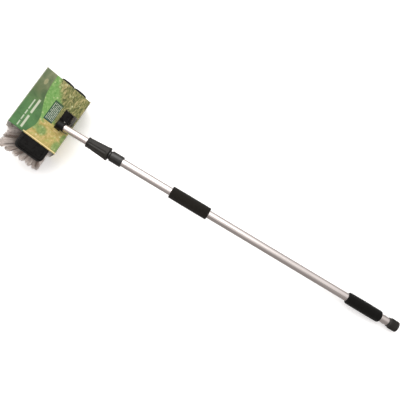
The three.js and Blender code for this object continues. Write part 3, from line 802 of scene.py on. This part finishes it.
def filament_mesh(name, paths, shades):
    """Three-sided tapered filaments along the paths, closed at both ends."""
    count, rings, _ = paths.shape
    steps = np.linspace(0, 1, rings)
    radius = FILAMENT["root"] + (FILAMENT["tip"] - FILAMENT["root"]) * steps ** 2
    angles = np.arange(3) * 2 * np.pi / 3
    offsets = np.stack([np.cos(angles), np.sin(angles), np.zeros(3)], 1)
    points = paths[:, :, None, :] + offsets[None, None] * radius[None, :, None, None]
    first = np.arange(count)[:, None, None] * rings * 3 + np.arange(rings - 1)[None, :, None] * 3
    side = np.arange(3)[None, None]
    beside = (side + 1) % 3
    quads = np.stack([first + side, first + beside, first + 3 + beside, first + 3 + side], -1).reshape(-1, 4)
    start = np.arange(count)[:, None] * rings * 3
    roots = start + np.array([2, 1, 0])
    tips = start + (rings - 1) * 3 + np.array([0, 1, 2])
    mesh = bpy.data.meshes.new(name)
    mesh.from_pydata(points.reshape(-1, 3).tolist(), [], quads.tolist() + roots.tolist() + tips.tolist())
    mesh.polygons.foreach_set("use_smooth", [True] * len(mesh.polygons))
    shade = mesh.attributes.new("shade", "FLOAT", "POINT")
    shade.data.foreach_set("value", np.repeat(shades, rings * 3).astype(np.float32))
    along = mesh.attributes.new("along", "FLOAT", "POINT")
    along.data.foreach_set("value", np.tile(np.repeat(steps, 3), count).astype(np.float32))
    return mesh


def add_bristles():
    material = bristle_material()
    for row in range(1, 7):
        node = f"bristle_row_{row}"
        rng = np.random.default_rng(40 + row)
        lines, foot_half, tip_half, foot_level = tuft_lines(node)
        paths, shades = filament_paths(rng, lines, foot_half, tip_half, foot_level, row)
        mesh = filament_mesh(f"tufts_{row}", paths, shades)
        piece(f"tufts_{row}", mesh, HEAD, "upper_pole", "bristle_fibre", [material], node)


# ------------------------------------------------------------ card sleeve

CARD = {"board": 0.6 * MM, "fold": 4 * MM, "bow": 0.9 * MM, "step": 4 * MM}
WINDOW = {"x": (15.2 * MM, 60 * MM), "y": (-8 * MM, 54 * MM)}
NOTCH = {"x": (15.2 * MM, 35.2 * MM), "y": (-14.3 * MM, 14.3 * MM)}
CARD_TOP = (-103 * MM, 65 * MM)
CARD_BOTTOM = (-86 * MM, 79 * MM)


def stops_between(low, high, step, *extra):
    """Evenly spaced numbers from low to high, with some exact ones in place of those next to them."""
    count = max(1, round((high - low) / step))
    even = [low + (high - low) * i / count for i in range(count + 1)]
    kept = [v for v in even if all(abs(v - e) > 0.45 * step for e in extra)]
    return sorted({low, high, *kept, *(e for e in extra if low <= e <= high)})


def card_section(top, bottom):
    """The sleeve's section as (x, z, distance), from the far top fold round by the pole side.

    Distance runs along the board: 0 at the far top fold and 1 at the top fold on the pole side."""
    corners = [(CARD_TOP[0], top), (CARD_TOP[1], top), (CARD_BOTTOM[1], bottom), (CARD_BOTTOM[0], bottom)]
    corners = [Vector(c) for c in corners]
    fold = CARD["fold"]
    points = []
    for i, corner in enumerate(corners):
        ahead = corners[(i + 1) % 4]
        along = ahead - corner
        length = along.length
        direction = along / length
        special = (WINDOW["x"][0], WINDOW["x"][1], NOTCH["x"][0], NOTCH["x"][1]) if i == 0 else ()
        distances = stops_between(fold, length - fold, CARD["step"], *(x - corner.x for x in special))
        for distance in distances:
            points.append(corner + direction * distance)
        after = (corners[(i + 2) % 4] - ahead).normalized()
        start, end = ahead - direction * fold, ahead + after * fold
        for step in range(1, 6):
            t = step / 6
            points.append(start * (1 - t) ** 2 + ahead * 2 * t * (1 - t) + end * t * t)
    return points


def add_sleeve(printed, board):
    low, high = extent("card_sleeve", HEAD)
    section = card_section(high.z - CARD["board"] / 2, low.z + CARD["board"] / 2)
    stops = stops_between(low.y, high.y, CARD["step"], *WINDOW["y"], *NOTCH["y"])
    width = CARD_TOP[1] - CARD_TOP[0]
    travelled = [0.0]
    for a, b in zip(section, section[1:] + section[:1]):
        travelled.append(travelled[-1] + (b - a).length)
    far_wall = max(i for i, p in enumerate(section) if p.y < low.z + CARD["fold"])
    built = bmesh.new()
    uv_layer = built.loops.layers.uv.new("card")
    grid = [[built.verts.new((p.x, y, p.y)) for y in stops] for p in section]

    def in_window(x, y):
        in_main = WINDOW["x"][0] < x < WINDOW["x"][1] and WINDOW["y"][0] < y < WINDOW["y"][1]
        in_notch = NOTCH["x"][0] < x < NOTCH["x"][1] and NOTCH["y"][0] < y < NOTCH["y"][1]
        return in_main or in_notch

    for i in range(len(section)):
        n = (i + 1) % len(section)
        on_top = min(section[i].y, section[n].y) > high.z - 2 * MM
        for k in range(len(stops) - 1):
            x = (section[i].x + section[n].x) / 2
            y = (stops[k] + stops[k + 1]) / 2
            if on_top and in_window(x, y):
                continue
            face = built.faces.new((grid[i][k], grid[n][k], grid[n][k + 1], grid[i][k + 1]))
            wrap = travelled[-1] if i > far_wall else 0
            before, after = travelled[i] - wrap, travelled[i + 1] - wrap
            corners = ((before, stops[k]), (after, stops[k]), (after, stops[k + 1]), (before, stops[k + 1]))
            for loop, (s, v) in zip(face.loops, corners):
                loop[uv_layer].uv = ((s + CARD["fold"]) / width, (v - low.y) / (high.y - low.y))
    bow_panels(built, low, high)
    mesh = bpy.data.meshes.new("card_sleeve_printed")
    bmesh.ops.recalc_face_normals(built, faces=built.faces)
    built.to_mesh(mesh)
    built.free()
    mesh.polygons.foreach_set("use_smooth", [True] * len(mesh.polygons))
    materials = [printed, board]
    sleeve = piece("card_sleeve_printed", mesh, HEAD, "upper_pole", "printed_card", materials, "card_sleeve")
    solid = sleeve.modifiers.new("board", "SOLIDIFY")
    solid.thickness = CARD["board"]
    solid.offset = 0
    solid.material_offset = 1
    solid.material_offset_rim = 1
    solid.use_even_offset = True


def bow_panels(built, low, high):
    """Lets the card's panels breathe: each bows out a little between its folds."""
    middle = (low + high) / 2
    for vertex in built.verts:
        p = vertex.co
        along = 1 - ((p.y - middle.y) / (high.y - low.y) * 2) ** 2
        across = max(0, 1 - ((p.x - middle.x) / (0.46 * (high.x - low.x))) ** 2)
        ripple = noise.noise(p * 14) * 0.5
        if p.z > high.z - 2 * MM:
            p.z += CARD["bow"] * across * (0.4 * along + 0.25 * ripple)
        elif p.z < low.z + 2 * MM:
            p.z += 0.3 * CARD["bow"] * across * (1 + ripple)


def box_mask(graph, u, v, low, high, soft=0.004):
    """1 inside a box of the card, from its (u, v) low corner to its high one."""
    sides = [graph.math("SUBTRACT", u, low[0]), graph.math("SUBTRACT", high[0], u)]
    sides += [graph.math("SUBTRACT", v, low[1]), graph.math("SUBTRACT", high[1], v)]
    nearest = sides[0]
    for side in sides[1:]:
        nearest = graph.math("MINIMUM", nearest, side)
    return graph.between(nearest, -soft, soft, smooth=True)


def spot_mask(graph, u, v, centre, reach, soft=0.4):
    """1 in the middle of an ellipse of the card, fading to 0 at its edge."""
    across = graph.math("DIVIDE", graph.math("SUBTRACT", u, centre[0]), reach[0])
    along = graph.math("DIVIDE", graph.math("SUBTRACT", v, centre[1]), reach[1])
    distance = graph.math("ADD", graph.math("MULTIPLY", across, across), graph.math("MULTIPLY", along, along))
    return graph.between(distance, 1.0, 1.0 - soft, smooth=True)


LEAF_GREENS = (srgb(80, 132, 62), srgb(112, 156, 84), srgb(154, 182, 112))
STALK_BROWNS = (srgb(58, 66, 36), srgb(118, 122, 70), srgb(190, 172, 122))
LEAF_GOLDS = (srgb(160, 148, 80), srgb(182, 164, 98), srgb(214, 188, 134))
# Mossy patches on the gold, as (centre, reach) in the card's (u, v).
MOSS = (((0.55, 0.18), (0.14, 0.09)), ((0.97, 0.27), (0.07, 0.10)), ((0.42, 0.20), (0.05, 0.10)),
        ((0.95, 0.10), (0.12, 0.12)))
# Stretches of v that stand in for the words of each line.
TITLE_WORDS = ((0.04, 0.245), (0.29, 0.53))
SUBTITLE_WORDS = ((0.03, 0.11), (0.13, 0.21), (0.23, 0.30), (0.32, 0.49))


def printed_material():
    """Glossy print of plain foliage colours: a dark band, a dewy leaf, brown stalks and gold leaf."""
    graph = Graph("card_print", roughness=0.35, specular_ior_level=0.4)
    uv = graph.uv()
    u, v, _ = graph.axes(uv)
    soft = graph.noise(uv, 5, detail=4, distortion=0.6)
    fine = graph.noise(uv, 22, detail=5, roughness=0.65)

    leaf = graph.ramp(fine, list(zip((0.25, 0.5, 0.75), LEAF_GREENS)))
    veins = graph.noise(graph.scaled(uv, (15, 5.5, 1)), 1.0, detail=4, distortion=3.2)
    stalks = graph.ramp(veins, list(zip((0.3, 0.5, 0.7), STALK_BROWNS)))
    gold = graph.ramp(fine, list(zip((0.3, 0.5, 0.7), LEAF_GOLDS)))
    ribs_of_leaf = graph.noise(graph.scaled(uv, (7, 20, 1)), 1.0, detail=4, distortion=1.2)
    gold = graph.mix(graph.between(ribs_of_leaf, 0.52, 0.66, 0, 0.55, smooth=True), gold, srgb(150, 128, 66))
    gold = graph.mix(graph.between(ribs_of_leaf, 0.42, 0.34, 0, 0.5, smooth=True), gold, srgb(150, 166, 84))
    moss = graph.ramp(fine, [(0.3, srgb(96, 128, 70)), (0.7, srgb(152, 168, 100))])

    wander = graph.math("MULTIPLY", graph.math("SUBTRACT", soft, 0.5), 0.35)
    stalk_side = graph.math("ADD", graph.math("ADD", u, graph.math("MULTIPLY", v, 0.55)), wander)
    picture = graph.mix(graph.between(stalk_side, 0.80, 0.96, smooth=True), leaf, stalks)
    gold_side = graph.math("ADD", graph.math("SUBTRACT", v, graph.math("MULTIPLY", u, 0.05)), wander)
    picture = graph.mix(graph.between(gold_side, 0.36, 0.28, smooth=True), picture, gold)
    for centre, reach in MOSS:
        picture = graph.mix(spot_mask(graph, u, v, centre, reach, 0.8), picture, moss)

    drops = graph.voronoi(graph.scaled(uv, (11, 13, 1)), 1.0)
    picture = graph.mix(graph.between(drops, 0.26, 0.18, 0, 0.35, smooth=True), picture, srgb(210, 214, 160))
    picture = graph.mix(graph.between(drops, 0.09, 0.05, 0, 0.8, smooth=True), picture, srgb(248, 244, 216))

    panel = box_mask(graph, u, v, (0.455, 0.345), (0.635, 0.685))
    panel_colour = graph.mix(graph.between(v, 0.35, 0.68), srgb(34, 74, 62), srgb(56, 82, 56))
    picture = graph.mix(panel, picture, panel_colour)
    rows = graph.math("PINGPONG", graph.math("SUBTRACT", u, 0.47), 0.0135)
    line = graph.between(rows, 0.0075, 0.0095)
    broken = graph.between(graph.noise(graph.scaled(uv, (48, 34, 1)), 1.0, detail=1), 0.38, 0.44)
    inside = box_mask(graph, u, v, (0.472, 0.37), (0.622, 0.655))
    dashes = graph.math("MULTIPLY", line, broken)
    small_lines = graph.math("MULTIPLY", dashes, graph.math("MULTIPLY", inside, 0.7))
    picture = graph.mix(small_lines, picture, srgb(226, 230, 208))

    hill = graph.math("DIVIDE", graph.math("SUBTRACT", v, 0.25), 0.3)
    bulge = graph.math("EXPONENT", graph.math("MULTIPLY", graph.math("MULTIPLY", hill, hill), -1.0))
    edge = graph.math("ADD", 0.23, graph.math("MULTIPLY", bulge, 0.19))
    in_band = graph.between(graph.math("SUBTRACT", edge, u), -0.004, 0.004, smooth=True)
    band = graph.ramp(v, [(0.0, srgb(84, 128, 78)), (0.4, srgb(88, 128, 76)), (0.65, srgb(102, 112, 76)),
                          (1.0, srgb(132, 136, 104))])
    band = graph.mix(graph.between(soft, 0.35, 0.62, 0, 0.6), band, srgb(50, 84, 50))
    picture = graph.mix(in_band, picture, band)

    title = title_mask(graph, u, v, TITLE_WORDS, (0.216, 0.256))
    subtitle = title_mask(graph, u, v, SUBTITLE_WORDS, (0.150, 0.172))
    picture = graph.mix(graph.math("MULTIPLY", title, 0.6), picture, srgb(232, 232, 212))
    picture = graph.mix(graph.math("MULTIPLY", subtitle, 0.6), picture, srgb(226, 232, 210))
    oval = spot_mask(graph, u, v, (0.13, 0.81), (0.035, 0.055), 0.3)
    picture = graph.mix(graph.math("MULTIPLY", oval, 0.3), picture, srgb(206, 192, 148))

    from_middle = graph.math("ABSOLUTE", graph.math("SUBTRACT", u, 0.5))
    near_fold = graph.math("ABSOLUTE", graph.math("SUBTRACT", from_middle, 0.5))
    patchy = graph.between(fine, 0.35, 0.6, 0.3, 0.8)
    worn_fold = graph.math("MULTIPLY", graph.between(near_fold, 0.016, 0.004), patchy)
    picture = graph.mix(worn_fold, picture, srgb(196, 186, 178))
    rule = box_mask(graph, u, v, (0.30, 0.012), (1.02, 0.026), 0.002)
    picture = graph.mix(rule, picture, srgb(240, 214, 160))
    scuffed = graph.between(graph.noise(uv, 60, detail=5), 0.62, 0.75, 0, 0.18)
    graph.set("Base Color", graph.mix(scuffed, picture, srgb(214, 214, 196)))
    graph.set("Roughness", graph.between(soft, 0.3, 0.7, 0.28, 0.42))
    graph.set("Normal", graph.bump(graph.noise(uv, 140, detail=3), 0.12, 0.1 * MM))
    return graph.material


def title_mask(graph, u, v, words, line):
    """Plain bars that stand in for a line of print: each word is a stretch of v."""
    mask = None
    for start, end in words:
        bar = box_mask(graph, u, v, (line[0], start), (line[1], end), 0.005)
        mask = bar if mask is None else graph.math("MAXIMUM", mask, bar)
    return mask


def board_material():
    """The card's bare white inside and cut edges."""
    graph = Graph("card_inside", roughness=0.8, specular_ior_level=0.2)
    point = graph.object_point()
    fibre = graph.noise(graph.scaled(point, (500, 260, 500)), 1.0, detail=5)
    graph.set("Base Color", graph.ramp(fibre, [(0.3, srgb(226, 222, 214)), (0.7, srgb(246, 243, 238))]))
    graph.set("Normal", graph.bump(fibre, 0.3, 0.08 * MM))
    return graph.material


# ------------------------------------------------------------ the rest of the CAD nodes


def dress_cad_nodes():
    """Small and inner CAD nodes keep their shapes and get real materials."""
    steel = steel_material("screw_steel", srgb(150, 148, 144), srgb(196, 194, 190))
    black_steel = steel_material("black_screw_steel", srgb(26, 25, 24), srgb(44, 43, 41))
    rubber = rubber_material("seal_rubber", srgb(34, 33, 32))
    inner = moulded_material("inner_plastic", srgb(226, 222, 210), 0.45, grain=0.3, wear=0.1)
    coupling = moulded_material("adaptor_plastic", srgb(28, 26, 23), 0.4, grain=0.3, wear=0.3)
    looks = {"adaptor_pin": steel, "tube_screw": steel, "socket_screw": black_steel, "cover_screw": steel,
             "lock_seal": rubber, "guide_seal": rubber, "hose_washer": rubber, "socket_gasket": rubber,
             "head_gasket": rubber, "lock_collet": inner, "guide_bush": inner, "hose_adaptor": coupling}
    for name, node in frame["nodes"].items():
        for start, material in looks.items():
            if name.startswith(start):
                node.data.materials.clear()
                node.data.materials.append(material)


# ------------------------------------------------------------ scene

add_camera()
add_world()
add_floor()
add_softbox("key", (-1.1, 1.2, 2.6), (-0.3, 0, 0), (3.4, 2.6), 52)
add_softbox("fill", (1.4, -1.8, 2.2), (0.3, 0, 0), (2.6, 2.6), 34, mirrored=False)
bpy.context.scene.view_settings.view_transform = "Standard"

add_pole()
block_plastic = moulded_material("block_plastic", srgb(13, 12, 11), 0.28, 0.15, wear=0.15, specular=0.15)
add_cover(block_plastic)
add_base(block_plastic)
add_bumper(rubber_material("bumper_rubber", srgb(24, 23, 22)))
add_socket(block_plastic)
add_bristles()
add_sleeve(printed_material(), board_material())
dress_cad_nodes()
